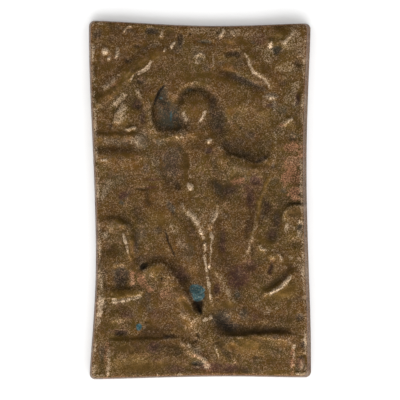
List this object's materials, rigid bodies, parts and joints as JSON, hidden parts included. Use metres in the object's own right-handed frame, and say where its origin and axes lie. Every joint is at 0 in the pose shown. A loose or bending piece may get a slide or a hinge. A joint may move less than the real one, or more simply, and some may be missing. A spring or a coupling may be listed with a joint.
{
  "type": "bronze icon plaque",
  "caption": "Small cast bronze icon: a flat-backed plaque with concave sides, worn relief of a robed standing figure under an arch, low figures, a slanting slab and a plain foot band.",
  "frame": {"origin": "on the flat back, under the middle of the plaque's box", "axes": "+X to the icon's right as it is looked at, +Y towards its top, +Z out of its face"},
  "size_m": [0.056, 0.0903, 0.0053],
  "materials": {
    "bronze": "worn olive-brown bronze patina, bare and glossy on the high ridges, granular and dark in the hollows"
  },
  "bodies": {
    "root": {"icon_plaque": "bronze"}
  },
  "joints": []
}
